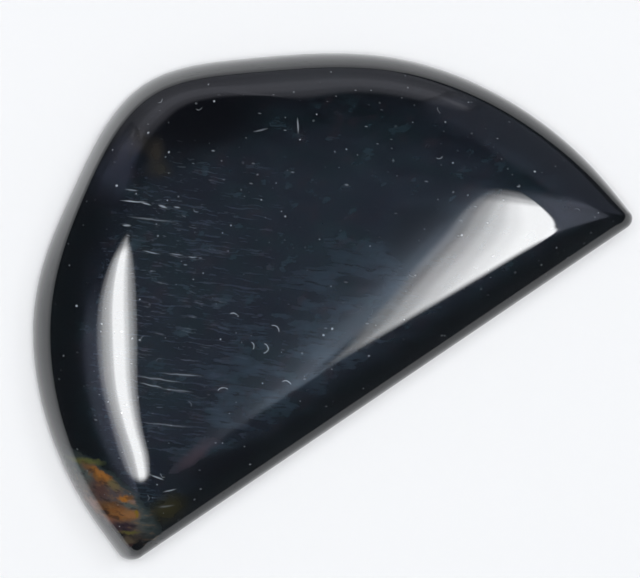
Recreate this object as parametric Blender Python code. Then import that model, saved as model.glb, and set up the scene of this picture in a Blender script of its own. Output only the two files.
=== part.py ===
"""A free-form cabochon of dyed tiger eye.

One half-moon stone with a flat lapped back, a girdle wall that leans in, and a polished dome. The frame is in
metres with +Z up: the back lies on Z = 0, +X runs along the straight side, +Y points from the straight side to
the round side, and the origin is under the middle of the stone's box.
"""

import math

import bmesh
import bpy
import numpy as np

MM = 0.001

# The round side of the outline, from the right tip over the peak to the left tip, in millimetres: X from the
# middle of the straight side, Y away from that side, and how far the girdle wall leans in there by its top. The
# last value is the wall's bulge: 1 is a flat wall, and more keeps it upright low down and curves it in above.
# Smooth curves run through these values.
ROUND_SIDE = (
    (23.1, 0.5, 0.45, 3.0),
    (22.6, 4.9, 0.72, 3.0),
    (14.65, 20.1, 0.95, 2.2),
    (5.2, 26.25, 0.92, 2.0),
    (-1.9, 28.75, 0.78, 1.8),
    (-10.65, 25.2, 0.62, 1.8),
    (-16.7, 20.8, 0.97, 1.8),
    (-22.9, 5.9, 0.99, 1.8),
    (-22.85, 0.5, 1.05, 1.7),
)
TIP_RADIUS = 0.8 * MM

# Heights above the back
BACK_BEVEL = 0.35 * MM
GIRDLE_HEIGHT = 3.5 * MM
DOME_RISE = 2.8 * MM

# The same lean and bulge of the wall along the straight side
STRAIGHT_LEAN = 0.62 * MM
STRAIGHT_BULGE = 5.3

# The dome's slope falls by a factor of e over this way in from the girdle
SHOULDER = 3.0 * MM

# The middle that the dome's rings close in on, and the size of the smallest ring
POLE = (0.0, 14.5 * MM)
SMALLEST_RING = 0.05

# How finely the stone is cut into flat faces
ROUND_STEPS = 66
STRAIGHT_STEPS = 22
TIP_STEPS = 4
WALL_STEPS = 6
DOME_STEPS = 17
SPLINE_SAMPLES = 900

QUARTER_TURN_REACH = 0.5523
SHARP_ANGLE = math.radians(30)

STONE_COLOUR = (0.020, 0.025, 0.038, 1.0)
POLISH_ROUGHNESS = 0.06


def clear_scene():
    for obj in list(bpy.data.objects):
        bpy.data.objects.remove(obj, do_unlink=True)


def unit(vectors):
    return vectors / np.linalg.norm(vectors, axis=-1, keepdims=True)


def round_side():
    """Closely spaced points on the natural cubic spline through ROUND_SIDE.

    Gives the points, the inward normal at each, and the wall's lean and bulge there.
    """
    knots = np.array(ROUND_SIDE) * (MM, MM, MM, 1.0)
    chords = np.linalg.norm(np.diff(knots[:, :2], axis=0), axis=1)
    places = np.concatenate([[0.0], np.cumsum(chords)])
    slopes = np.diff(knots, axis=0) / chords[:, None]
    system = np.eye(len(knots))
    target = np.zeros_like(knots)
    for i in range(1, len(knots) - 1):
        system[i, i - 1 : i + 2] = chords[i - 1], 2 * (chords[i - 1] + chords[i]), chords[i]
        target[i] = 6 * (slopes[i] - slopes[i - 1])
    bends = np.linalg.solve(system, target)

    t = np.linspace(0, places[-1], SPLINE_SAMPLES)
    i = np.clip(np.searchsorted(places, t) - 1, 0, len(chords) - 1)
    step = chords[i, None]
    after = (t - places[i])[:, None] / step
    before = 1 - after
    points = before * knots[i] + after * knots[i + 1]
    points += step**2 / 6 * ((before**3 - before) * bends[i] + (after**3 - after) * bends[i + 1])
    tangents = (knots[i + 1] - knots[i]) / step
    tangents += step / 6 * ((1 - 3 * before**2) * bends[i] + (3 * after**2 - 1) * bends[i + 1])
    normals = unit(np.stack([-tangents[:, 1], tangents[:, 0]], axis=1))
    return points[:, :2], normals, points[:, 2], points[:, 3]


def cut_at(curve, level):
    """The part of a curve that lies above a level, with its two ends exactly on it."""
    above = np.flatnonzero(curve[:, 1] > level)
    first, last = above[0], above[-1]
    ends = []
    for inside, outside in ((first, first - 1), (last, last + 1)):
        share = (level - curve[inside, 1]) / (curve[outside, 1] - curve[inside, 1])
        ends.append(curve[inside] + share * (curve[outside] - curve[inside]))
    return np.concatenate([ends[:1], curve[first : last + 1], ends[1:]])


def evenly_along(path, count):
    """A path cut again into equal steps, both ends included."""
    travel = np.concatenate([[0.0], np.cumsum(np.linalg.norm(np.diff(path, axis=0), axis=1))])
    places = np.linspace(0, travel[-1], count)
    return np.stack([np.interp(places, travel, path[:, k]) for k in (0, 1)], axis=1)


def rounded_corner(start, start_heading, end, end_heading):
    """Points on a quarter turn from start to end, both ends left out."""
    reach = QUARTER_TURN_REACH * TIP_RADIUS
    leaving = start + reach * start_heading
    arriving = end - reach * end_heading
    t = np.linspace(0, 1, TIP_STEPS + 2)[1:-1, None]
    early = (1 - t) ** 3 * start + 3 * t * (1 - t) ** 2 * leaving
    late = 3 * t**2 * (1 - t) * arriving + t**3 * end
    return early + late


def section(points, normals, round_inset, straight_inset):
    """The outline moved inwards, as a ring of points that runs over the round side and back along the straight.

    round_inset is one distance, or one for each point of the round side.
    """
    moved = points + np.broadcast_to(round_inset, len(points))[:, None] * normals
    curve = cut_at(moved, straight_inset + TIP_RADIUS)
    curve = evenly_along(curve, ROUND_STEPS)
    left_end = np.array([curve[-1, 0] + TIP_RADIUS, straight_inset])
    right_end = np.array([curve[0, 0] - TIP_RADIUS, straight_inset])
    straight = evenly_along(np.array([left_end, right_end]), STRAIGHT_STEPS)
    along = np.array([1.0, 0.0])
    left_tip = rounded_corner(curve[-1], unit(curve[-1] - curve[-2]), left_end, along)
    right_tip = rounded_corner(right_end, along, curve[0], unit(curve[1] - curve[0]))
    return np.concatenate([curve, left_tip, straight, right_tip])


def depth_inside(points, girdle):
    """How far points lie inside the girdle: the plain distance close to it, and smoothly less further in.

    Each straight piece of the girdle adds the integral of 1 / distance**5 along it, and 4 / 3 over the fourth
    power of the distance is what an endless straight line would add.
    """
    pieces = np.roll(girdle, -1, axis=0) - girdle
    lengths = np.linalg.norm(pieces, axis=1)
    headings = pieces / lengths[:, None]
    offsets = points[:, None, :] - girdle[None, :, :]
    behind = -(offsets * headings).sum(axis=2)
    ahead = behind + lengths
    gap = headings[:, 0] * offsets[:, :, 1] - headings[:, 1] * offsets[:, :, 0]

    def integral_to(place):
        return place * (3 * gap**2 + 2 * place**2) / (3 * gap**4 * (place**2 + gap**2) ** 1.5)

    total = (integral_to(ahead) - integral_to(behind)).sum(axis=1)
    return (4 / 3 / total) ** 0.25


def dome_height(points, girdle):
    return GIRDLE_HEIGHT + DOME_RISE * (1 - np.exp(-depth_inside(points, girdle) / SHOULDER))


def stone_rings():
    """(outline, heights) of each level ring, from the back's edge to the smallest ring of the dome."""
    points, normals, lean, bulge = round_side()
    rings = [(section(points, normals, BACK_BEVEL, BACK_BEVEL), 0.0)]
    for k in range(WALL_STEPS + 1):
        share = k / WALL_STEPS
        straight_inset = STRAIGHT_LEAN * share**STRAIGHT_BULGE
        outline = section(points, normals, lean * share**bulge, straight_inset)
        rings.append((outline, BACK_BEVEL + (GIRDLE_HEIGHT - BACK_BEVEL) * share))
    girdle = rings[-1][0]
    for k in range(1, DOME_STEPS + 1):
        scale = 1 - (1 - SMALLEST_RING) * (k / DOME_STEPS) ** 1.2
        outline = POLE + scale * (girdle - POLE)
        rings.append((outline, dome_height(outline, girdle)))
    return rings


def add_ring(bm, outline, heights):
    """A closed loop of edges through the points of an outline."""
    heights = np.broadcast_to(heights, len(outline))
    verts = [bm.verts.new((x, y, z)) for (x, y), z in zip(outline, heights)]
    return [bm.edges.new((a, b)) for a, b in zip(verts, verts[1:] + verts[:1])]


def build_stone(collection, material):
    rings = stone_rings()
    girdle = rings[WALL_STEPS + 1][0]
    bm = bmesh.new()
    loops = [add_ring(bm, outline, heights) for outline, heights in rings]
    for lower, upper in zip(loops, loops[1:]):
        bmesh.ops.bridge_loops(bm, edges=lower + upper)
    bmesh.ops.contextual_create(bm, geom=loops[0])
    cap = bmesh.ops.contextual_create(bm, geom=loops[-1])["faces"]
    pole = bmesh.ops.poke(bm, faces=cap)["verts"][0]
    pole.co = (*POLE, dome_height(np.array([POLE]), girdle)[0])
    bmesh.ops.recalc_face_normals(bm, faces=bm.faces)

    widest = rings[1][0]
    middle = (widest.min(axis=0) + widest.max(axis=0)) / 2
    bmesh.ops.translate(bm, verts=bm.verts, vec=(-middle[0], -middle[1], 0.0))

    mesh = bpy.data.meshes.new("tiger_eye_cabochon")
    bm.to_mesh(mesh)
    bm.free()
    mesh.materials.append(material)
    mesh.shade_smooth()
    mesh.set_sharp_from_angle(angle=SHARP_ANGLE)
    collection.objects.link(bpy.data.objects.new("tiger_eye_cabochon", mesh))


def dyed_tiger_eye():
    material = bpy.data.materials.new("dyed_tiger_eye")
    material.use_nodes = True
    shader = material.node_tree.nodes["Principled BSDF"]
    shader.inputs["Base Color"].default_value = STONE_COLOUR
    shader.inputs["Roughness"].default_value = POLISH_ROUGHNESS
    shader.inputs["Metallic"].default_value = 0.0
    material.diffuse_color = STONE_COLOUR
    return material


def main():
    clear_scene()
    collection = bpy.data.collections.new("tiger_eye_cabochon")
    bpy.context.scene.collection.children.link(collection)
    build_stone(collection, dyed_tiger_eye())


main()
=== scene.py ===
"""The looks of a dyed tiger eye cabochon, polished and lapped, on a plain light stage."""

import math

import bmesh
import bpy
import numpy as np
from bpy.props import FloatProperty, FloatVectorProperty, PointerProperty
from mathutils import Matrix, Vector, noise


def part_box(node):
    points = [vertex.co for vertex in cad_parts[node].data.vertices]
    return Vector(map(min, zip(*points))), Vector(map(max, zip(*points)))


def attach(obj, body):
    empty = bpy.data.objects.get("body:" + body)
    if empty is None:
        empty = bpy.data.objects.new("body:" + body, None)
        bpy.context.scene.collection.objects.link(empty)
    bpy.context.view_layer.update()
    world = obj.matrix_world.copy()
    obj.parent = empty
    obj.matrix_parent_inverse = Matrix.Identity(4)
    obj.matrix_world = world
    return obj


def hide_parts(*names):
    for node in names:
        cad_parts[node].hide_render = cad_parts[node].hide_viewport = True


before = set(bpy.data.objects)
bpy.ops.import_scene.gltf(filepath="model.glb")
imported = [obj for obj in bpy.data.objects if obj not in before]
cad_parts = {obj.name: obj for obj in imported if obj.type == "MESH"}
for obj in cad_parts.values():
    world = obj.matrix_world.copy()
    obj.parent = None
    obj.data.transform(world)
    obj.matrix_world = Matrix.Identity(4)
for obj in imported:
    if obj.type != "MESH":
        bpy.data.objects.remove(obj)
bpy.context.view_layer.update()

bl_info = {
    "name": "Dyed tiger eye cabochon",
    "version": (1, 0, 0),
    "blender": (4, 5, 0),
    "location": "View3D > Sidebar > Cabochon",
    "description": "A half-moon cabochon of dyed tiger eye on a plain light stage",
    "category": "Add Mesh",
}

NODE = "tiger_eye_cabochon"
MM = 0.001

LOW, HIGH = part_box(NODE)

# The round side of the outline, from the right tip over the peak to the left tip, in millimetres: X from the
# middle of the straight side, Y away from that side, and how far the girdle wall leans in there by its top.
# The last value is the wall's bulge: 1 is a flat wall, and more keeps it upright low down and curves it in
# above. Smooth curves run through these values.
ROUND_SIDE = (
    (23.1, 0.5, 0.45, 3.0),
    (22.6, 4.9, 0.72, 3.0),
    (14.65, 20.1, 0.95, 2.2),
    (5.2, 26.25, 0.92, 2.0),
    (-1.9, 28.75, 0.78, 1.8),
    (-10.65, 25.2, 0.62, 1.8),
    (-16.7, 20.8, 0.97, 1.8),
    (-22.9, 5.9, 0.99, 1.8),
    (-22.85, 0.5, 1.05, 1.7),
)
TIP_RADIUS = 0.8 * MM

# Heights above the back
BACK_BEVEL = 0.35 * MM
GIRDLE_HEIGHT = 3.5 * MM
DOME_RISE = 2.8 * MM

# The same lean and bulge of the wall along the straight side
STRAIGHT_LEAN = 0.62 * MM
STRAIGHT_BULGE = 5.3

# The dome's slope falls by a factor of e over this way in from the girdle
SHOULDER = 3.0 * MM

# The middle that the dome's rings close in on, and the size of the smallest ring
POLE = (0.0, 14.5 * MM)
SMALLEST_RING = 0.02
QUARTER_TURN_REACH = 0.5523

# How finely the polished surface is cut
ROUND_STEPS = 340
STRAIGHT_STEPS = 110
TIP_STEPS = 15
WALL_STEPS = 18
DOME_STEPS = 80
SPLINE_SAMPLES = 3000
BEVEL_SEGMENTS = 3

# An edge is softened where its faces meet at more than this
BEVEL_ANGLE = math.radians(15)

# The camera, as the photograph was taken: turned so that the straight side runs up to the right, and leaning
# away from the straight side. Angles in the picture run anticlockwise from its right edge.
LENS_MM = 150.0
SENSOR_MM = 36.0
CAMERA_DISTANCE = 199.0 * MM
CAMERA_ROLL = math.radians(33.97)
CAMERA_TILT = math.radians(9.0)
CAMERA_LEAN_ANGLE = math.radians(150.0)
CAMERA_AIM = Vector((0.477 * MM, -5.538 * MM, 0.0))
PICTURE_RIGHT = Vector((math.cos(CAMERA_ROLL), -math.sin(CAMERA_ROLL), 0.0))
PICTURE_UP = Vector((math.sin(CAMERA_ROLL), math.cos(CAMERA_ROLL), 0.0))

# Gloss of quartz, which tiger eye is, and the weak silky gloss of the fibres under it
QUARTZ_IOR = 1.544
SILK_LEVEL = 0.09
SILK_TINT = "#B9CBE6"
DUST_COLOUR = "#A2A8AE"

# Painted shade: near black towards the girdle, between these shares of the dome's rise, and all below them
SHADE_CLEAR = 0.68
SHADE_DARK = 0.38

# Places on the stone are in millimetres in the part's frame, and turns are in degrees from the straight side.
# A mark runs through the whole thickness of the stone.
THROUGH = 1e6

# Where paler clouds gather, partly painted sheen; where pale fibres are painted sheen; where a few are
# painted glints
SHEEN_FOG_CENTRE = (-3.5, -8.0)
SHEEN_FOG_RADII = (12.0, 4.2)
SHEEN_FOG_TURN = 8.0
PAINTED_SHEEN_CENTRE = (-10.5, -1.5)
PAINTED_SHEEN_RADII = (13.0, 6.5)
PAINTED_SHEEN_TURN = 50.0
GLINT_CENTRE = (-8.5, 1.5)
GLINT_RADII = (8.5, 3.4)
GLINT_TURN = 52.0

# Marks, broad ones first: centre, radii, turn, colour, softness of the edge
MARKS_AND_PAINTED_SHADE = (
    # Painted shade: a near-black patch where the upper dome's gloss mirrors a dark part of the room
    ((-0.6, 10.2), (5.2, 2.5), -12, "#050507", 0.6),
    # Small brown marks that the dye left
    ((-4.9, 11.3), (0.6, 0.7), -34, "#1D1B17", 0.7),
    ((-4.3, 10.1), (0.55, 0.8), -34, "#211E19", 0.7),
    ((-4.9, 9.0), (0.8, 0.5), -34, "#1E1D19", 0.7),
    # Two darker patches on the dome
    ((8.6, -5.4), (2.6, 2.0), -20, "#07090C", 0.45),
    ((-13.6, -11.1), (3.6, 0.9), -14, "#08090C", 0.5),
    # Marks that the dye left, most of them undyed brown, orange and olive at the left tip
    ((-14.1, -9.7), (1.7, 0.42), 3, "#2D262C", 0.75),
    ((-17.9, -12.0), (1.1, 0.8), -10, "#252312", 0.8),
    ((-20.9, -8.8), (3.6, 1.05), -76, "#44504F", 0.6),
    ((-21.4, -9.6), (2.6, 0.9), -76, "#4C3E37", 0.6),
    ((-22.0, -9.7), (0.32, 1.2), 14, "#82594A", 0.8),
    ((-21.5, -9.8), (0.9, 0.7), -34, "#573D24", 0.5),
    ((-20.7, -8.9), (1.1, 0.42), -34, "#443E40", 0.5),
    ((-21.2, -8.0), (0.5, 0.8), -20, "#45322E", 0.6),
    ((-20.9, -5.85), (1.05, 0.22), -38, "#4A4E2A", 0.6),
    ((-20.65, -7.35), (1.5, 0.36), -69, "#664422", 0.55),
    ((-20.5, -7.3), (0.75, 0.20), -69, "#885A28", 0.6),
    ((-20.2, -8.4), (0.45, 0.28), -69, "#565038", 0.6),
    ((-20.05, -9.55), (0.5, 0.24), -34, "#8A5A22", 0.6),
    ((-19.7, -10.1), (0.3, 0.14), -60, "#6A574E", 0.5),
    ((-21.0, -10.4), (1.25, 0.48), -34, "#6C4724", 0.55),
    ((-20.5, -10.7), (0.6, 0.28), -34, "#7A5634", 0.7),
    ((-20.0, -11.0), (0.28, 0.14), 50, "#6A5612", 0.5),
    ((-21.9, -9.9), (0.32, 0.22), -34, "#352316", 0.5),
    ((-21.3, -11.4), (0.85, 0.4), -34, "#2E2329", 0.5),
    ((-21.2, -12.05), (0.7, 0.13), -34, "#4E4A26", 0.6),
    ((-21.6, -12.5), (0.5, 0.28), -34, "#463D30", 0.6),
    ((-21.8, -12.8), (0.35, 0.12), -34, "#2A1B1B", 0.6),
)
TIP_CENTRE = (-21.0, -9.4)
TIP_RADII = (4.2, 1.6)
TIP_TURN = -76

# Painted glints of long fibres at the left, and two hairs of lint: centre, half length and half width, turn,
# strength
GLINTS_AND_LINT = (
    ((-7.6, 8.0), (0.72, 0.04), -37, 1.0),
    ((-7.0, 7.4), (0.30, 0.04), -50, 1.0),
    ((-6.1, 6.6), (0.26, 0.06), -50, 1.0),
    ((-5.3, 6.0), (0.20, 0.045), -46, 0.8),
    ((-7.3, 8.8), (0.35, 0.04), -36, 0.7),
    ((-7.3, 6.3), (1.3, 0.05), -40, 0.4),
    ((-9.0, 6.9), (0.25, 0.06), -36, 0.9),
    ((-8.6, 4.3), (0.50, 0.04), -44, 0.8),
    ((-7.2, 3.2), (0.40, 0.035), -38, 0.7),
    ((-6.3, 2.4), (0.28, 0.035), -40, 0.8),
    ((-11.7, -4.2), (1.2, 0.05), -39, 0.5),
    ((-13.2, -3.6), (1.3, 0.05), -42, 0.5),
    ((-13.9, -3.7), (0.7, 0.045), -47, 0.7),
    ((-12.6, -5.0), (0.9, 0.05), -40, 0.4),
    ((-14.6, -6.7), (1.4, 0.05), -41, 0.35),
    ((-17.3, -9.55), (0.4, 0.045), -54, 1.0),
    ((-17.05, -10.9), (0.4, 0.04), -20, 0.9),
    ((-17.9, -11.8), (0.5, 0.06), -30, 0.3),
    ((5.25, 6.0), (0.45, 0.055), 58, 0.75),
    ((2.8, 7.25), (0.42, 0.055), -20, 0.4),
)

# Curls of lint: centre, radius, the way that the curve faces and half of its opening
LINT = (
    ((-5.75, -6.0), 0.32, -34, 80),
    ((-6.4, -5.3), 0.25, -20, 60),
    ((-10.0, -7.15), 0.50, 62, 45),
    ((-5.9, -9.2), 0.40, 40, 50),
    ((-4.5, -5.3), 0.45, 15, 50),
    ((-6.3, -2.8), 0.32, 45, 45),
)

# Directions of the scratches that lapping left on the back
SCRATCH_TURNS = (18.0, 74.0, 131.0)

# The lights: (inner, outer) edges from the lowest station up, as places in the picture's axes on a ceiling
# one metre above the stone. A level is a share of the light's strength, ACROSS it from the inner to the outer
# edge, or ALONG it from the first to the last station.
PANEL_COLUMNS = 10
PANEL_ROWS = 40
LEFT_LAMP = (
    ((-0.04, -0.49), (-0.62, -0.60)),
    ((-0.075, -0.42), (-0.60, -0.53)),
    ((-0.11, -0.35), (-0.60, -0.46)),
    ((-0.16, -0.29), (-0.59, -0.40)),
    ((-0.175, -0.22), (-0.60, -0.32)),
    ((-0.165, -0.16), (-0.62, -0.24)),
    ((-0.16, -0.11), (-0.62, -0.14)),
    ((-0.185, -0.05), (-0.62, -0.04)),
    ((-0.23, 0.00), (-0.60, 0.04)),
    ((-0.295, 0.05), (-0.56, 0.10)),
    ((-0.36, 0.09), (-0.50, 0.13)),
    ((-0.41, 0.12), (-0.45, 0.14)),
)
LEFT_ACROSS = (
    (0.0, 0.0), (0.03, 0.13), (0.1, 0.33), (0.16, 0.65), (0.24, 1.0), (0.42, 1.0),
    (0.48, 0.6), (0.58, 0.43), (0.7, 0.32), (0.81, 0.13), (1.0, 0.0),
)
LEFT_ALONG = ((0.0, 0.0), (0.08, 1.0), (0.86, 1.0), (0.94, 0.3), (1.0, 0.0))
RIGHT_LAMP = (
    ((0.48, -0.62), (0.93, -0.93)),
    ((0.45, -0.55), (0.91, -0.85)),
    ((0.41, -0.47), (0.87, -0.77)),
    ((0.365, -0.39), (0.80, -0.67)),
    ((0.33, -0.31), (0.72, -0.53)),
    ((0.30, -0.23), (0.65, -0.38)),
    ((0.285, -0.15), (0.59, -0.22)),
    ((0.28, -0.07), (0.545, -0.06)),
    ((0.30, 0.01), (0.52, 0.07)),
    ((0.34, 0.09), (0.50, 0.16)),
    ((0.39, 0.17), (0.48, 0.22)),
)
RIGHT_ACROSS = (
    (0.0, 0.0), (0.08, 0.16), (0.17, 0.36), (0.3, 0.6), (0.46, 0.85), (0.62, 1.0), (0.94, 1.0), (1.0, 0.0),
)
RIGHT_ALONG = ((0.0, 0.0), (0.1, 1.0), (0.8, 1.0), (0.88, 0.55), (0.94, 0.2), (1.0, 0.0))
FAR_WALL = (
    ((-1.15, 0.48), (-6.90, 2.90)),
    ((-0.70, 0.55), (-6.20, 4.90)),
    ((-0.43, 0.86), (-4.00, 8.00)),
    ((-0.20, 1.25), (-1.60, 9.60)),
    ((0.03, 1.35), (0.30, 10.20)),
    ((0.11, 0.95), (1.20, 10.40)),
    ((0.24, 1.15), (2.20, 10.40)),
    ((0.44, 1.18), (3.60, 10.00)),
    ((0.75, 1.25), (5.40, 9.40)),
    ((1.10, 1.60), (6.60, 9.00)),
)
FAR_ACROSS = (
    (0.0, 0.0), (0.035, 0.6), (0.07, 0.95), (0.12, 1.0), (0.2, 0.65), (0.35, 0.5), (0.9, 0.55), (1.0, 0.0),
)
FAR_ALONG = ((0.0, 0.0), (0.14, 0.8), (0.28, 1.0), (0.92, 1.0), (1.0, 0.0))
FAR_CORNER = (
    ((-0.62, 0.22), (-5.00, 1.80)),
    ((-0.52, 0.23), (-5.20, 2.25)),
    ((-0.60, 0.32), (-4.00, 2.10)),
    ((-0.70, 0.62), (-2.60, 2.30)),
)
FAR_RIGHT = (
    ((0.66, 0.10), (6.00, 1.50)),
    ((0.62, 0.35), (7.00, 4.50)),
    ((0.45, 0.55), (7.50, 8.00)),
    ((0.55, 1.15), (6.00, 10.50)),
)
LEFT_WALL = (
    ((-0.30, -0.72), (-0.95, -0.90)),
    ((-0.47, -0.38), (-1.08, -0.43)),
    ((-0.51, -0.11), (-1.00, -0.06)),
    ((-0.50, 0.07), (-0.80, 0.16)),
)
RIGHT_WALL = (
    ((0.88, -0.88), (1.30, -1.20)),
    ((0.72, -0.60), (1.35, -0.75)),
    ((0.58, -0.25), (1.40, -0.15)),
    ((0.50, 0.08), (1.40, 0.40)),
    ((0.50, 0.27), (1.25, 0.78)),
)
RIGHT_GLOW = (
    ((0.38, -0.68), (0.57, -0.67)),
    ((0.25, -0.54), (0.465, -0.55)),
    ((0.21, -0.43), (0.42, -0.44)),
    ((0.18, -0.33), (0.37, -0.34)),
    ((0.165, -0.23), (0.335, -0.23)),
    ((0.165, -0.14), (0.315, -0.13)),
    ((0.18, -0.04), (0.32, -0.03)),
    ((0.22, 0.06), (0.35, 0.06)),
    ((0.28, 0.15), (0.40, 0.15)),
)
CEILING = (
    ((-0.04, -0.46), (0.48, -0.49)),
    ((-0.26, -0.15), (0.57, -0.20)),
    ((-0.23, 0.15), (0.75, 0.20)),
    ((0.06, 0.46), (0.70, 0.50)),
)
FADING_OUT = ((0.0, 1.0), (0.4, 0.6), (1.0, 0.0))
CORNER_ACROSS = ((0.0, 0.0), (0.08, 1.0), (0.3, 1.0), (0.5, 0.6), (1.0, 0.4))
GLOW_ACROSS = (
    (0.0, 0.0), (0.22, 0.035), (0.41, 0.1), (0.59, 0.26), (0.74, 0.6), (0.84, 0.8), (1.0, 0.0),
)
GLOW_ALONG = ((0.0, 0.0), (0.12, 0.9), (0.6, 1.0), (0.78, 0.5), (0.95, 0.45), (1.0, 0.0))
SHEET_ACROSS = ((0.0, 0.0), (0.04, 1.0), (0.5, 0.85), (1.0, 0.85))
SHEET_ALONG = ((0.0, 0.0), (0.12, 1.0), (0.88, 1.0), (1.0, 0.0))
WALL_ACROSS = ((0.0, 0.6), (0.1, 1.0), (0.6, 0.9), (0.9, 0.55), (1.0, 0.0))
SOFT_ENDS = ((0.0, 0.0), (0.3, 1.0), (0.7, 1.0), (1.0, 0.0))

# Brightness of the room, and of the dark one that the stone's gloss sees instead
ROOM_STRENGTH = 0.20
DARK_ROOM = 0.04

# In metres
FLOOR_WIDTH = 3.0

# The panels besides the two lamps: name, stations, levels across and along, strength, colour and height
PANELS = (
    ("far_wall", FAR_WALL, FAR_ACROSS, FAR_ALONG, 1.3, "#DEDFEC", 1.4),
    ("far_corner", FAR_CORNER, CORNER_ACROSS, SOFT_ENDS, 0.7, "#B4BCE8", 1.4),
    ("far_right", FAR_RIGHT, SHEET_ACROSS, SHEET_ALONG, 0.42, "#C6D0F0", 1.4),
    ("left_wall", LEFT_WALL, FADING_OUT, SOFT_ENDS, 1.4, "#C0C6E4", 1.1),
    ("right_wall", RIGHT_WALL, WALL_ACROSS, SHEET_ALONG, 1.7, "#BEC4D8", 1.2),
    ("right_glow", RIGHT_GLOW, GLOW_ACROSS, GLOW_ALONG, 3.5, "#BACADE", 1.3),
    ("ceiling", CEILING, SOFT_ENDS, SOFT_ENDS, 0.12, "#A9BCE0", 1.5),
)
LAMP_COLOUR = "#FDFEFF"


def linear(hex_colour):
    """An sRGB hex colour as the linear RGBA that a shader takes."""
    parts = [int(hex_colour[i : i + 2], 16) / 255 for i in (1, 3, 5)]
    return [c / 12.92 if c <= 0.04045 else ((c + 0.055) / 1.055) ** 2.4 for c in parts] + [1.0]


def unit(vectors):
    return vectors / np.linalg.norm(vectors, axis=-1, keepdims=True)


def smooth_curve(knots, samples):
    """Closely spaced points on the natural cubic spline through some points, and its heading at each.

    What the points hold besides X and Y runs along smoothly with them.
    """
    knots = np.array(knots)
    chords = np.linalg.norm(np.diff(knots[:, :2], axis=0), axis=1)
    places = np.concatenate([[0.0], np.cumsum(chords)])
    slopes = np.diff(knots, axis=0) / chords[:, None]
    system = np.eye(len(knots))
    target = np.zeros_like(knots)
    for i in range(1, len(knots) - 1):
        system[i, i - 1 : i + 2] = chords[i - 1], 2 * (chords[i - 1] + chords[i]), chords[i]
        target[i] = 6 * (slopes[i] - slopes[i - 1])
    bends = np.linalg.solve(system, target)

    t = np.linspace(0, places[-1], samples)
    i = np.clip(np.searchsorted(places, t) - 1, 0, len(chords) - 1)
    step = chords[i, None]
    after = (t - places[i])[:, None] / step
    before = 1 - after
    points = before * knots[i] + after * knots[i + 1]
    points += step**2 / 6 * ((before**3 - before) * bends[i] + (after**3 - after) * bends[i + 1])
    tangents = (knots[i + 1] - knots[i]) / step
    tangents += step / 6 * ((1 - 3 * before**2) * bends[i] + (3 * after**2 - 1) * bends[i + 1])
    return points, unit(tangents[:, :2])


def round_side():
    """Closely spaced points on the round side.

    With them come the inward normal at each, and the wall's lean and bulge there.
    """
    points, headings = smooth_curve(np.array(ROUND_SIDE) * (MM, MM, MM, 1.0), SPLINE_SAMPLES)
    normals = np.stack([-headings[:, 1], headings[:, 0]], axis=1)
    return points[:, :2], normals, points[:, 2], points[:, 3]


def cut_at(curve, level):
    """The part of a curve that lies above a level, with its two ends exactly on it."""
    above = np.flatnonzero(curve[:, 1] > level)
    first, last = above[0], above[-1]
    ends = []
    for inside, outside in ((first, first - 1), (last, last + 1)):
        share = (level - curve[inside, 1]) / (curve[outside, 1] - curve[inside, 1])
        ends.append(curve[inside] + share * (curve[outside] - curve[inside]))
    return np.concatenate([ends[:1], curve[first : last + 1], ends[1:]])


def evenly_along(path, count):
    """A path cut again into equal steps, both ends included."""
    travel = np.concatenate([[0.0], np.cumsum(np.linalg.norm(np.diff(path, axis=0), axis=1))])
    places = np.linspace(0, travel[-1], count)
    return np.stack([np.interp(places, travel, path[:, k]) for k in (0, 1)], axis=1)


def rounded_corner(start, start_heading, end, end_heading):
    """Points on a quarter turn from start to end, both ends left out."""
    reach = QUARTER_TURN_REACH * TIP_RADIUS
    leaving = start + reach * start_heading
    arriving = end - reach * end_heading
    t = np.linspace(0, 1, TIP_STEPS + 2)[1:-1, None]
    early = (1 - t) ** 3 * start + 3 * t * (1 - t) ** 2 * leaving
    late = 3 * t**2 * (1 - t) * arriving + t**3 * end
    return early + late


def section(points, normals, round_inset, straight_inset):
    """The outline moved inwards, as a ring of points.

    The ring runs over the round side and back along the straight one. round_inset is one distance, or one for
    each point of the round side.
    """
    moved = points + np.broadcast_to(round_inset, len(points))[:, None] * normals
    curve = cut_at(moved, straight_inset + TIP_RADIUS)
    curve = evenly_along(curve, ROUND_STEPS)
    left_end = np.array([curve[-1, 0] + TIP_RADIUS, straight_inset])
    right_end = np.array([curve[0, 0] - TIP_RADIUS, straight_inset])
    straight = evenly_along(np.array([left_end, right_end]), STRAIGHT_STEPS)
    along = np.array([1.0, 0.0])
    left_tip = rounded_corner(curve[-1], unit(curve[-1] - curve[-2]), left_end, along)
    right_tip = rounded_corner(right_end, along, curve[0], unit(curve[1] - curve[0]))
    return np.concatenate([curve, left_tip, straight, right_tip])


def depth_inside(points, girdle):
    """How far points lie inside the girdle: the plain distance close to it, and smoothly less further in.

    Each straight piece of the girdle adds the integral of 1 / distance**5 along it, and 4 / 3 over the fourth
    power of the distance is what an endless straight line would add.
    """
    pieces = np.roll(girdle, -1, axis=0) - girdle
    lengths = np.linalg.norm(pieces, axis=1)
    headings = pieces / lengths[:, None]
    offsets = points[:, None, :] - girdle[None, :, :]
    behind = -(offsets * headings).sum(axis=2)
    ahead = behind + lengths
    gap = headings[:, 0] * offsets[:, :, 1] - headings[:, 1] * offsets[:, :, 0]

    def integral_to(place):
        return place * (3 * gap**2 + 2 * place**2) / (3 * gap**4 * (place**2 + gap**2) ** 1.5)

    total = (integral_to(ahead) - integral_to(behind)).sum(axis=1)
    return (4 / 3 / total) ** 0.25


def dome_height(points, girdle):
    return GIRDLE_HEIGHT + DOME_RISE * (1 - np.exp(-depth_inside(points, girdle) / SHOULDER))


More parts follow.
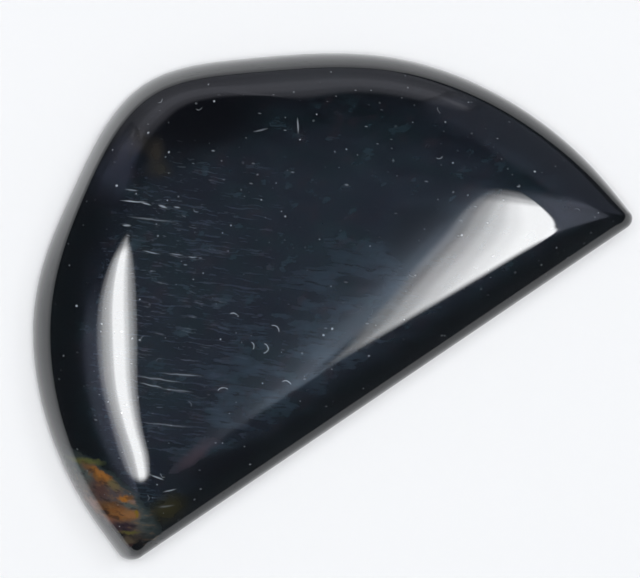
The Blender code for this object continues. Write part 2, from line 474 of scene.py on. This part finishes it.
def stone_rings():
    """(outline, heights) of each level ring, from the back's edge to the smallest ring of the dome."""
    points, normals, lean, bulge = round_side()
    rings = [(section(points, normals, BACK_BEVEL, BACK_BEVEL), 0.0)]
    for k in range(WALL_STEPS + 1):
        share = k / WALL_STEPS
        straight_inset = STRAIGHT_LEAN * share**STRAIGHT_BULGE
        outline = section(points, normals, lean * share**bulge, straight_inset)
        rings.append((outline, BACK_BEVEL + (GIRDLE_HEIGHT - BACK_BEVEL) * share))
    girdle = rings[-1][0]
    for k in range(1, DOME_STEPS + 1):
        scale = 1 - (1 - SMALLEST_RING) * k / DOME_STEPS
        outline = POLE + scale * (girdle - POLE)
        rings.append((outline, dome_height(outline, girdle)))
    return rings


def add_ring(bm, outline, heights):
    """A closed loop of edges through the points of an outline."""
    heights = np.broadcast_to(heights, len(outline))
    verts = [bm.verts.new((x, y, z)) for (x, y), z in zip(outline, heights)]
    return [bm.edges.new((a, b)) for a, b in zip(verts, verts[1:] + verts[:1])]


def stone_mesh(look):
    rings = stone_rings()
    girdle = rings[WALL_STEPS + 1][0]
    bm = bmesh.new()
    loops = [add_ring(bm, outline, heights) for outline, heights in rings]
    for lower, upper in zip(loops, loops[1:]):
        bmesh.ops.bridge_loops(bm, edges=lower + upper)
    bmesh.ops.contextual_create(bm, geom=loops[0])
    cap = bmesh.ops.contextual_create(bm, geom=loops[-1])["faces"]
    pole = bmesh.ops.poke(bm, faces=cap)["verts"][0]
    pole.co = (*POLE, dome_height(np.array([POLE]), girdle)[0])
    bmesh.ops.recalc_face_normals(bm, faces=bm.faces)

    # Hand polishing leaves the dome a little uneven, and its girdle true
    for v in bm.verts:
        share = min(max(v.co.z - GIRDLE_HEIGHT, 0) / DOME_RISE, 1)
        v.co.z += share * look.wave_depth * noise.noise(v.co / look.wave_length)

    # The finer cut reaches a hair further than the flat faces of the CAD solid, so it is drawn in to its box
    low = Vector([min(v.co[k] for v in bm.verts) for k in range(3)])
    high = Vector([max(v.co[k] for v in bm.verts) for k in range(3)])
    fit = Vector([(HIGH[k] - LOW[k]) / (high[k] - low[k]) for k in range(3)])
    for v in bm.verts:
        v.co = Vector([LOW[k] + (v.co[k] - low[k]) * fit[k] for k in range(3)])

    # The back and its bevel are lapped and the rest is polished
    for face in bm.faces:
        face.material_index = int(face.calc_center_median().z < BACK_BEVEL)
    return bm


class CabochonSettings(bpy.types.PropertyGroup):
    """What a user would change about the stone and its light."""

    edge_softness: FloatProperty(
        name="Edge softness",
        description="Width of the polished rounding along the girdle and the back's bevel",
        default=0.24 * MM,
        min=0.0,
        unit="LENGTH",
    )
    wave_length: FloatProperty(
        name="Wave length",
        description="Distance between the gentle waves that hand polishing leaves in the dome",
        default=5.0 * MM,
        min=1.0 * MM,
        unit="LENGTH",
    )
    wave_depth: FloatProperty(
        name="Wave depth",
        description="Height of those waves",
        default=0.005 * MM,
        min=0.0,
        unit="LENGTH",
    )
    fibre_length: FloatProperty(
        name="Fibre length",
        description="Length of a bundle of the stone's fibres",
        default=2.4 * MM,
        min=0.5 * MM,
        unit="LENGTH",
    )
    fibre_width: FloatProperty(
        name="Fibre width",
        description="Width of a bundle of fibres, drawn coarse enough to show in the photograph's view",
        default=0.19 * MM,
        min=0.05 * MM,
        unit="LENGTH",
    )
    fibre_angle: FloatProperty(
        name="Fibre angle",
        description="Direction of the fibres, from the straight side",
        default=math.radians(-41),
        subtype="ANGLE",
    )
    speck_size: FloatProperty(
        name="Speck size",
        description="Width of the pale specks of dust and of pits in the polish",
        default=0.15 * MM,
        min=0.0,
        unit="LENGTH",
    )
    navy: FloatVectorProperty(
        name="Navy",
        description="The dyed stone's main colour",
        default=linear("#0B0D13"),
        size=4,
        min=0.0,
        max=1.0,
        subtype="COLOR",
    )
    teal: FloatVectorProperty(
        name="Teal",
        description="Colour of the greener patches between the navy ones",
        default=linear("#091215"),
        size=4,
        min=0.0,
        max=1.0,
        subtype="COLOR",
    )
    cloud: FloatVectorProperty(
        name="Cloud",
        description="Colour of the paler, cloudy patches",
        default=linear("#202A33"),
        size=4,
        min=0.0,
        max=1.0,
        subtype="COLOR",
    )
    # Painted glints: the colour of fibres drawn bright near the left lamp, also used for two hairs of lint
    fibre_glint_and_lint: FloatVectorProperty(
        name="Fibre",
        description="Colour of the few bright fibres",
        default=linear("#8C9299"),
        size=4,
        min=0.0,
        max=1.0,
        subtype="COLOR",
    )
    mottle_strength: FloatProperty(
        name="Mottle strength",
        description="How strongly the undyed orange, brown and olive marks show at the left tip",
        default=1.0,
        min=0.0,
        max=1.0,
        subtype="FACTOR",
    )
    polish_roughness: FloatProperty(
        name="Polish roughness",
        description="Roughness of the polished surface",
        default=0.03,
        min=0.0,
        max=1.0,
        subtype="FACTOR",
    )
    lamp_strength: FloatProperty(
        name="Lamp strength",
        description="Brightness of the two lamps that the polish mirrors",
        default=19.2,
        min=0.0,
    )


def node(tree, kind, inputs=None, **settings):
    """A new shader node with its settings, its values and its links."""
    made = tree.nodes.new(kind)
    for name, value in settings.items():
        setattr(made, name, value)
    for name, value in (inputs or {}).items():
        if isinstance(value, bpy.types.NodeSocket):
            tree.links.new(value, made.inputs[name])
        else:
            made.inputs[name].default_value = value
    return made


def millimetres(tree, turn=0.0):
    """The place on the stone in millimetres, turned about Z."""
    place = node(tree, "ShaderNodeTexCoord").outputs["Object"]
    scale = 1 / MM
    settings = {"Vector": place, "Rotation": (0.0, 0.0, turn), "Scale": (scale, scale, scale)}
    return node(tree, "ShaderNodeMapping", settings).outputs["Vector"]


def grains(tree, place, length, width, detail=2.0, start=0.0):
    """Noise whose grains are length by width millimetres."""
    scale = (1 / length, 1 / width, 1 / width)
    drawn = node(tree, "ShaderNodeMapping", {"Vector": place, "Location": (start, 0.0, 0.0), "Scale": scale})
    settings = {"Vector": drawn.outputs["Vector"], "Scale": 1.0, "Detail": detail}
    return node(tree, "ShaderNodeTexNoise", settings).outputs["Fac"]


def flecks(tree, place, length, width, spacing, share, start=0.0):
    """A mask of scattered flecks, some faint.

    Their places are about spacing millimetres apart, and share is the part of these places that holds one.
    """
    stretch = length / width
    scale = (1 / (spacing * stretch), 1 / spacing, 1 / spacing)
    drawn = node(tree, "ShaderNodeMapping", {"Vector": place, "Location": (start, 0.0, 0.0), "Scale": scale})
    cells = node(tree, "ShaderNodeTexVoronoi", {"Vector": drawn.outputs["Vector"], "Scale": 1.0})
    reach = width / 2 / spacing
    lot = node(tree, "ShaderNodeSeparateColor", {"Color": cells.outputs["Color"]})
    size = node(tree, "ShaderNodeMapRange", {"Value": lot.outputs["Blue"], "To Min": 0.45, "To Max": 1.2})
    settings = {0: cells.outputs["Distance"], 1: size.outputs["Result"]}
    off = node(tree, "ShaderNodeMath", settings, operation="DIVIDE").outputs["Value"]
    dot = between(tree, off, 1.25 * reach, 0.6 * reach)
    chosen = node(tree, "ShaderNodeMath", {0: lot.outputs["Red"], 1: share}, operation="LESS_THAN")
    faint = node(tree, "ShaderNodeMapRange", {"Value": lot.outputs["Green"], "To Min": 0.2, "To Max": 1.0})
    return product(tree, dot, chosen.outputs["Value"], faint.outputs["Result"], faint.outputs["Result"])


def between(tree, value, low, high):
    """0 below low, 1 above high and smooth in between; falling where low is the greater."""
    settings = {"Value": value, "From Min": low, "From Max": high}
    return node(tree, "ShaderNodeMapRange", settings, interpolation_type="SMOOTHSTEP").outputs["Result"]


def product(tree, *values):
    made = values[0]
    for value in values[1:]:
        made = node(tree, "ShaderNodeMath", {0: made, 1: value}, operation="MULTIPLY").outputs["Value"]
    return made


def laid_over(tree, under, over, cover):
    """One colour over another, as far as cover goes."""
    settings = {"Factor": cover, 6: under, 7: over}
    return node(tree, "ShaderNodeMix", settings, data_type="RGBA").outputs[2]


def about(tree, place, centre, radii=(1.0, 1.0), turn=0.0):
    """The place seen from a mark's centre, along and across it in its own radii, the same at every height."""
    settings = {
        "Vector": place,
        "Location": (*centre, 0.0),
        "Rotation": (0.0, 0.0, math.radians(turn)),
        "Scale": (*radii, THROUGH),
    }
    return node(tree, "ShaderNodeMapping", settings, vector_type="TEXTURE").outputs["Vector"]


def patch(tree, place, centre, radii, turn=0.0, softness=0.3):
    """A mask that is 1 inside an ellipse."""
    seen = about(tree, place, centre, radii, turn)
    reach = node(tree, "ShaderNodeVectorMath", {0: seen}, operation="LENGTH").outputs["Value"]
    return between(tree, reach, 1 + softness, 1 - softness)


def curl(tree, seen, radius, opening, width):
    """A mask of a short curved thread: part of a circle about the origin, ahead along X."""
    settings = {0: seen, 1: (1.0, 1.0, 0.0)}
    flat = node(tree, "ShaderNodeVectorMath", settings, operation="MULTIPLY").outputs["Vector"]
    reach = node(tree, "ShaderNodeVectorMath", {0: flat}, operation="LENGTH").outputs["Value"]
    off = node(tree, "ShaderNodeMath", {0: reach, 1: radius}, operation="SUBTRACT").outputs["Value"]
    off = node(tree, "ShaderNodeMath", {0: off}, operation="ABSOLUTE").outputs["Value"]
    ahead = node(tree, "ShaderNodeSeparateXYZ", {"Vector": flat}).outputs["X"]
    limit = radius * math.cos(math.radians(opening))
    thread = between(tree, off, 0.8 * width, 0.25 * width)
    return product(tree, thread, between(tree, ahead, limit - width, limit + width))


def strewn_curls(tree, place, spacing, share, radius, width):
    """A mask of curls at random places, turned at random."""
    scaled = node(tree, "ShaderNodeVectorMath", {0: place, 1: (1 / spacing,) * 3}, operation="MULTIPLY")
    settings = {"Vector": scaled.outputs["Vector"], "Scale": 1.0}
    cells = node(tree, "ShaderNodeTexVoronoi", settings, voronoi_dimensions="2D")
    lot = node(tree, "ShaderNodeSeparateColor", {"Color": cells.outputs["Color"]})
    chosen = node(tree, "ShaderNodeMath", {0: lot.outputs["Red"], 1: share}, operation="LESS_THAN")
    settings = {0: scaled.outputs["Vector"], 1: cells.outputs["Position"]}
    seen = node(tree, "ShaderNodeVectorMath", settings, operation="SUBTRACT")
    settings = {0: seen.outputs["Vector"], 1: (spacing,) * 3}
    seen = node(tree, "ShaderNodeVectorMath", settings, operation="MULTIPLY")
    angle = node(tree, "ShaderNodeMath", {0: lot.outputs["Green"], 1: math.tau}, operation="MULTIPLY")
    settings = {"Vector": seen.outputs["Vector"], "Angle": angle.outputs["Value"]}
    turned = node(tree, "ShaderNodeVectorRotate", settings, rotation_type="Z_AXIS").outputs["Vector"]
    faint = node(tree, "ShaderNodeMapRange", {"Value": lot.outputs["Blue"], "To Min": 0.25, "To Max": 0.9})
    thread = curl(tree, turned, radius, 50, width)
    return product(tree, thread, chosen.outputs["Value"], faint.outputs["Result"])


def jittered(tree, place, size, amount):
    """The place moved about by noise, which breaks up the edges of what is drawn with it."""
    settings = {"Vector": place, "Scale": 1 / size, "Detail": 3.0}
    drift = node(tree, "ShaderNodeTexNoise", settings).outputs["Color"]
    centred = node(tree, "ShaderNodeVectorMath", {0: drift, 1: (0.5, 0.5, 0.5)}, operation="SUBTRACT")
    settings = {0: centred.outputs["Vector"], 1: (amount, amount, amount), 2: place}
    return node(tree, "ShaderNodeVectorMath", settings, operation="MULTIPLY_ADD").outputs["Vector"]


def stone_colour(tree, look):
    """The stone's colours with painted sheen and shade, alike on dome, wall and back, and its fibres as a
    height.
    """
    place = millimetres(tree)
    grain = millimetres(tree, -look.fibre_angle)
    length = look.fibre_length / MM
    width = look.fibre_width / MM

    # Broad navy and teal patches with paler clouds, most of them in the lower left half of the dome, partly
    # painted sheen
    teal = between(tree, grains(tree, grain, 5.0, 2.6, detail=3.0), 0.40, 0.62)
    colour = laid_over(tree, list(look.navy), list(look.teal), teal)
    sheen_fog_zone = patch(tree, place, SHEEN_FOG_CENTRE, SHEEN_FOG_RADII, turn=SHEEN_FOG_TURN, softness=0.6)
    cloudy = between(tree, grains(tree, grain, 2.8, 1.1, detail=3.0, start=3.0), 0.34, 0.70)
    sheen_fog = node(tree, "ShaderNodeMapRange", {"Value": sheen_fog_zone, "To Min": 0.25}).outputs["Result"]
    colour = laid_over(tree, colour, list(look.cloud), product(tree, cloudy, sheen_fog))

    # Faint greener and browner blotches between them
    for start, shade in ((31.0, "#1A272D"), (43.0, "#1D191E")):
        blotch = between(tree, grains(tree, place, 1.5, 1.0, detail=4.0, start=start), 0.54, 0.70)
        colour = laid_over(tree, colour, linear(shade), product(tree, blotch, 0.6))

    # Wavy bundles of fibres, some darker and some paler than the rest, the paler ones painted sheen near the
    # left lamp
    wavy = jittered(tree, grain, 1.6, 0.5)
    fibres = grains(tree, wavy, length, width, detail=3.0)
    dark = between(tree, fibres, 0.50, 0.30)
    colour = laid_over(tree, colour, linear("#07080B"), product(tree, dark, 0.7))
    painted_sheen_zone = patch(tree, place, PAINTED_SHEEN_CENTRE, PAINTED_SHEEN_RADII, turn=PAINTED_SHEEN_TURN, softness=0.6)
    pale = between(tree, fibres, 0.54, 0.76)
    colour = laid_over(tree, colour, linear("#363D49"), product(tree, pale, painted_sheen_zone, 0.55))

    # Painted shade: the colour turns near black towards the girdle, and on the wall and back below it
    height = node(tree, "ShaderNodeSeparateXYZ", {"Vector": place}).outputs["Z"]
    levels = [(GIRDLE_HEIGHT + share * DOME_RISE) / MM for share in (SHADE_CLEAR, SHADE_DARK)]
    edge = between(tree, height, *levels)
    colour = laid_over(tree, colour, linear("#080A0A"), product(tree, edge, 0.75))

    # Painted shade on the upper dome, darker patches, and dye marks: undyed brown, orange and olive at the
    # left tip
    ragged = jittered(tree, place, 1.6, 0.7)
    ragged = jittered(tree, ragged, 0.4, 0.4)
    for centre, radii, turn, shade, softness in MARKS_AND_PAINTED_SHADE:
        cover = product(tree, patch(tree, ragged, centre, radii, turn, softness), look.mottle_strength)
        colour = laid_over(tree, colour, linear(shade), cover)

    # Fine brown and dark grains all through the marks at the tip
    tip = patch(tree, ragged, TIP_CENTRE, TIP_RADII, TIP_TURN, 0.35)
    fine = grains(tree, grain, 0.9, 0.35, detail=4.0, start=5.0)
    cover = product(tree, tip, between(tree, fine, 0.52, 0.66), 0.55, look.mottle_strength)
    colour = laid_over(tree, colour, linear("#15161A"), cover)
    cover = product(tree, tip, between(tree, fine, 0.44, 0.34), 0.35, look.mottle_strength)
    colour = laid_over(tree, colour, linear("#6A5238"), cover)
    return colour, fibres


def stone_material(name, look):
    """A new material, with the colour inside the stone and its fibres as a height."""
    material = bpy.data.materials.new(name)
    material.use_nodes = True
    return material, *stone_colour(material.node_tree, look)


def join_surface(material, colour, roughness, bump):
    """Gives a material's shader its colour, roughness and bump, and the refractive index of quartz."""
    shader = material.node_tree.nodes["Principled BSDF"]
    links = (
        (colour, "Base Color"),
        (roughness.outputs["Result"], "Roughness"),
        (bump.outputs["Normal"], "Normal"),
    )
    for source, target in links:
        material.node_tree.links.new(source, shader.inputs[target])
    shader.inputs["IOR"].default_value = QUARTZ_IOR
    return shader


def polished_tiger_eye(look):
    """Dyed tiger eye, domed and polished.

    Gives the eye a near-black navy stone with silky fibres deep under a mirror-like gloss.
    """
    material, colour, fibres = stone_material("dyed_tiger_eye_polished", look)
    tree = material.node_tree
    place = millimetres(tree)
    grain = millimetres(tree, -look.fibre_angle)

    # Painted glints: fibres near the left side drawn bright, where they lie at the angle that catches the
    # left lamp
    glint_zone = patch(tree, place, GLINT_CENTRE, GLINT_RADII, turn=GLINT_TURN, softness=0.5)
    wavy = jittered(tree, grain, 1.6, 0.5)
    glint_streaks = between(tree, grains(tree, wavy, 1.7, 0.13, detail=2.0, start=7.0), 0.62, 0.84)
    colour = laid_over(tree, colour, list(look.fibre_glint_and_lint), product(tree, glint_streaks, glint_zone, 0.35))
    glint_dashes = flecks(tree, jittered(tree, wavy, 0.3, 0.1), 0.62, 0.12, 0.36, 0.15, start=11.0)
    colour = laid_over(tree, colour, list(look.fibre_glint_and_lint), product(tree, glint_dashes, glint_zone))
    bent = jittered(tree, place, 1.5, 0.25)
    for centre, radii, turn, strength in GLINTS_AND_LINT:
        cover = product(tree, patch(tree, bent, centre, radii, turn, 0.5), strength)
        colour = laid_over(tree, colour, list(look.fibre_glint_and_lint), cover)

    # Specks and curls of dust on the dome, left as they are
    height = node(tree, "ShaderNodeSeparateXYZ", {"Vector": place}).outputs["Z"]
    on_dome = between(tree, height, GIRDLE_HEIGHT / MM, GIRDLE_HEIGHT / MM + 0.4)
    size = look.speck_size / MM
    crumbled = jittered(tree, place, 0.3, 0.16)
    ruffled = jittered(tree, bent, 0.35, 0.14)
    dust = [flecks(tree, crumbled, size, size, 0.40, 0.11)]
    dust.append(product(tree, flecks(tree, grain, 1.9 * size, 0.7 * size, 0.36, 0.12, start=19.0), 0.6))
    dust.append(product(tree, strewn_curls(tree, ruffled, 2.1, 0.06, 0.26, 0.05), 0.5))
    dust += [
        product(tree, curl(tree, about(tree, ruffled, centre, turn=turn), radius, opening, 0.06), 0.8)
        for centre, radius, turn, opening in LINT
    ]
    for cover in dust:
        colour = laid_over(tree, colour, linear(DUST_COLOUR), product(tree, cover, on_dome))

    bump = node(tree, "ShaderNodeBump", {"Height": fibres, "Strength": 0.35, "Distance": 0.03 * MM})
    roughness = node(tree, "ShaderNodeMapRange", {"Value": fibres, "To Min": 0.52, "To Max": 0.36})
    shader = join_surface(material, colour, roughness, bump)
    shader.inputs["Specular IOR Level"].default_value = SILK_LEVEL
    shader.inputs["Specular Tint"].default_value = linear(SILK_TINT)
    shader.inputs["Coat Weight"].default_value = 1.0
    shader.inputs["Coat Roughness"].default_value = look.polish_roughness
    shader.inputs["Coat IOR"].default_value = QUARTZ_IOR
    return material


def lapped_tiger_eye(look):
    """Dyed tiger eye, lapped flat and not polished.

    Gives the eye the same stone, paler and satin, with fine crossing scratches.
    """
    material, colour, fibres = stone_material("dyed_tiger_eye_lapped", look)
    tree = material.node_tree
    scratches = 0.0
    for turn in SCRATCH_TURNS:
        lines = grains(tree, millimetres(tree, math.radians(turn)), 7.0, 0.06, detail=1.0, start=turn)
        settings = {0: between(tree, lines, 0.62, 0.74), 1: scratches}
        scratches = node(tree, "ShaderNodeMath", settings, operation="MAXIMUM").outputs["Value"]
    colour = laid_over(tree, colour, linear("#5A606A"), product(tree, scratches, 0.22))
    colour = laid_over(tree, colour, linear("#4A5058"), 0.18)
    raised = node(tree, "ShaderNodeMath", {0: fibres, 1: scratches}, operation="SUBTRACT").outputs["Value"]
    bump = node(tree, "ShaderNodeBump", {"Height": raised, "Strength": 0.3, "Distance": 0.02 * MM})
    roughness = node(tree, "ShaderNodeMapRange", {"Value": scratches, "To Min": 0.36, "To Max": 0.5})
    join_surface(material, colour, roughness, bump)
    return material


class OBJECT_OT_cabochon_stone(bpy.types.Operator):
    """Make the stone with its polish and its lapped back"""

    bl_idname = "object.cabochon_stone"
    bl_label = "Tiger eye stone"

    def execute(self, context):
        look = context.scene.cabochon
        bm = stone_mesh(look)
        mesh = bpy.data.meshes.new("tiger_eye_stone")
        bm.to_mesh(mesh)
        bm.free()
        mesh.materials.append(polished_tiger_eye(look))
        mesh.materials.append(lapped_tiger_eye(look))
        mesh.shade_smooth()
        stone = bpy.data.objects.new("tiger_eye_stone", mesh)
        context.scene.collection.objects.link(stone)
        bevel = stone.modifiers.new("Softened edges", "BEVEL")
        bevel.width = look.edge_softness
        bevel.segments = BEVEL_SEGMENTS
        bevel.limit_method = "ANGLE"
        bevel.angle_limit = BEVEL_ANGLE
        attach(stone, "root")
        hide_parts(NODE)
        return {"FINISHED"}


def picture_point(right, up, height):
    """A point in the room, this far to the right and up in the picture for each metre of height."""
    return PICTURE_RIGHT * right * height + PICTURE_UP * up * height + Vector((0, 0, height))


def graded(tree, value, stops):
    """A level that runs smoothly through (place, level) stops."""
    ramp = node(tree, "ShaderNodeValToRGB", {"Fac": value})
    ramp.color_ramp.interpolation = "EASE"
    elements = ramp.color_ramp.elements
    for k, (place, level) in enumerate(stops):
        element = elements[k] if k < len(elements) else elements.new(place)
        element.position = place
        element.color = (level, level, level, 1.0)
    return ramp.outputs["Color"]


def light_panel(name, stations, across, along, strength, colour, height=1.0):
    """A glowing, see-through sheet that only the stone's gloss sees.

    stations are its (inner, outer) edges from one end to the other, as places on a ceiling one metre up, and
    the sheet hangs at a height of its own in the same directions. across and along are its brightness from
    the inner to the outer edge and from the first to the last station.
    """
    inner, outer = (smooth_curve([pair[k] for pair in stations], PANEL_ROWS + 1)[0] for k in (0, 1))
    bm = bmesh.new()
    bm.loops.layers.uv.new("panel")
    bmesh.ops.create_grid(bm, x_segments=PANEL_COLUMNS, y_segments=PANEL_ROWS, size=0.5, calc_uvs=True)
    for v in bm.verts:
        row = round((v.co.y + 0.5) * PANEL_ROWS)
        share = v.co.x + 0.5
        right, up = inner[row] * (1 - share) + outer[row] * share
        v.co = picture_point(right, up, height)
    mesh = bpy.data.meshes.new(name)
    bm.to_mesh(mesh)
    bm.free()
    panel = bpy.data.objects.new(name, mesh)
    bpy.context.scene.collection.objects.link(panel)

    material = bpy.data.materials.new(name)
    material.use_nodes = True
    tree = material.node_tree
    tree.nodes.clear()
    place = node(tree, "ShaderNodeTexCoord").outputs["UV"]
    axes = node(tree, "ShaderNodeSeparateXYZ", {"Vector": place})
    shade_across = graded(tree, axes.outputs["X"], across)
    shade_along = graded(tree, axes.outputs["Y"], along)
    level = product(tree, shade_across, shade_along, strength)
    glow = node(tree, "ShaderNodeEmission", {"Color": linear(colour), "Strength": level})
    clear = node(tree, "ShaderNodeBsdfTransparent")
    both = node(tree, "ShaderNodeAddShader", {0: glow.outputs["Emission"], 1: clear.outputs["BSDF"]})
    node(tree, "ShaderNodeOutputMaterial", {"Surface": both.outputs["Shader"]})
    mesh.materials.append(material)
    panel.visible_camera = False
    panel.visible_diffuse = False
    panel.visible_shadow = False


def soft_lamp(name, right, up, size, power):
    """A broad lamp above the floor that gives light but is not mirrored."""
    data = bpy.data.lights.new(name, "AREA")
    data.shape = "DISK"
    data.size = size
    data.energy = power
    lamp = bpy.data.objects.new(name, data)
    bpy.context.scene.collection.objects.link(lamp)
    lamp.location = picture_point(right, up, 1.0)
    lamp.rotation_euler = lamp.location.to_track_quat("Z", "Y").to_euler()
    lamp.visible_glossy = False
    lamp.visible_camera = False


def pale_floor():
    bpy.ops.mesh.primitive_plane_add(size=FLOOR_WIDTH, location=(0, 0, 0))
    floor = bpy.context.object
    floor.name = "pale_floor"
    material = bpy.data.materials.new("matt_white_card")
    material.use_nodes = True
    shader = material.node_tree.nodes["Principled BSDF"]
    shader.inputs["Base Color"].default_value = linear("#F4F5F7")
    shader.inputs["Roughness"].default_value = 0.9
    shader.inputs["Specular IOR Level"].default_value = 0.0
    floor.data.materials.append(material)


def room_light():
    """A pale room all round, which the stone's gloss sees as a dark one."""
    world = bpy.data.worlds.new("pale_room")
    bpy.context.scene.world = world
    world.use_nodes = True
    tree = world.node_tree
    tree.nodes.clear()
    path = node(tree, "ShaderNodeLightPath")
    pale = node(tree, "ShaderNodeBackground", {"Color": linear("#F8FBFF"), "Strength": ROOM_STRENGTH})
    dim = node(tree, "ShaderNodeBackground", {"Color": linear("#B4C0D8"), "Strength": DARK_ROOM})
    settings = {0: path.outputs["Is Glossy Ray"], 1: pale.outputs["Background"], 2: dim.outputs["Background"]}
    mix = node(tree, "ShaderNodeMixShader", settings)
    node(tree, "ShaderNodeOutputWorld", {"Surface": mix.outputs["Shader"]})


def photograph_camera():
    data = bpy.data.cameras.new("photograph_camera")
    data.lens = LENS_MM
    data.sensor_width = SENSOR_MM
    data.clip_start = 0.01
    camera = bpy.data.objects.new("photograph_camera", data)
    bpy.context.scene.collection.objects.link(camera)
    lean = PICTURE_RIGHT * math.cos(CAMERA_LEAN_ANGLE) + PICTURE_UP * math.sin(CAMERA_LEAN_ANGLE)
    back = lean * math.sin(CAMERA_TILT) + Vector((0, 0, math.cos(CAMERA_TILT)))
    right = (PICTURE_RIGHT - back * PICTURE_RIGHT.dot(back)).normalized()
    up = back.cross(right)
    turn = Matrix((right, up, back)).transposed().to_4x4()
    camera.matrix_world = Matrix.Translation(CAMERA_AIM + back * CAMERA_DISTANCE) @ turn
    bpy.context.scene.camera = camera


class OBJECT_OT_cabochon_stage(bpy.types.Operator):
    """Make the floor, the lights and the camera"""

    bl_idname = "object.cabochon_stage"
    bl_label = "Light stage"

    def execute(self, context):
        pale_floor()
        room_light()
        strength = context.scene.cabochon.lamp_strength
        light_panel("left_lamp", LEFT_LAMP, LEFT_ACROSS, LEFT_ALONG, strength, LAMP_COLOUR)
        light_panel("right_lamp", RIGHT_LAMP, RIGHT_ACROSS, RIGHT_ALONG, strength, LAMP_COLOUR)
        for panel in PANELS:
            light_panel(*panel)
        soft_lamp("overhead_fill", right=-0.07, up=0.10, size=0.9, power=9.0)
        soft_lamp("right_fill", right=0.60, up=0.40, size=0.5, power=2.0)
        photograph_camera()
        context.scene.view_settings.view_transform = "Standard"
        return {"FINISHED"}


class VIEW3D_PT_cabochon(bpy.types.Panel):
    """Lists the settings and the pieces"""

    bl_idname = "VIEW3D_PT_cabochon"
    bl_label = "Tiger eye cabochon"
    bl_space_type = "VIEW_3D"
    bl_region_type = "UI"
    bl_category = "Cabochon"

    def draw(self, context):
        layout = self.layout
        for name in CabochonSettings.__annotations__:
            layout.prop(context.scene.cabochon, name)
        layout.operator(OBJECT_OT_cabochon_stone.bl_idname)
        layout.operator(OBJECT_OT_cabochon_stage.bl_idname)


CLASSES = (CabochonSettings, OBJECT_OT_cabochon_stone, OBJECT_OT_cabochon_stage, VIEW3D_PT_cabochon)


def register():
    for kind in CLASSES:
        bpy.utils.register_class(kind)
    bpy.types.Scene.cabochon = PointerProperty(type=CabochonSettings)


def unregister():
    del bpy.types.Scene.cabochon
    for kind in reversed(CLASSES):
        bpy.utils.unregister_class(kind)


def main():
    register()
    bpy.ops.object.cabochon_stone()
    bpy.ops.object.cabochon_stage()


if __name__ == "__main__":
    main()
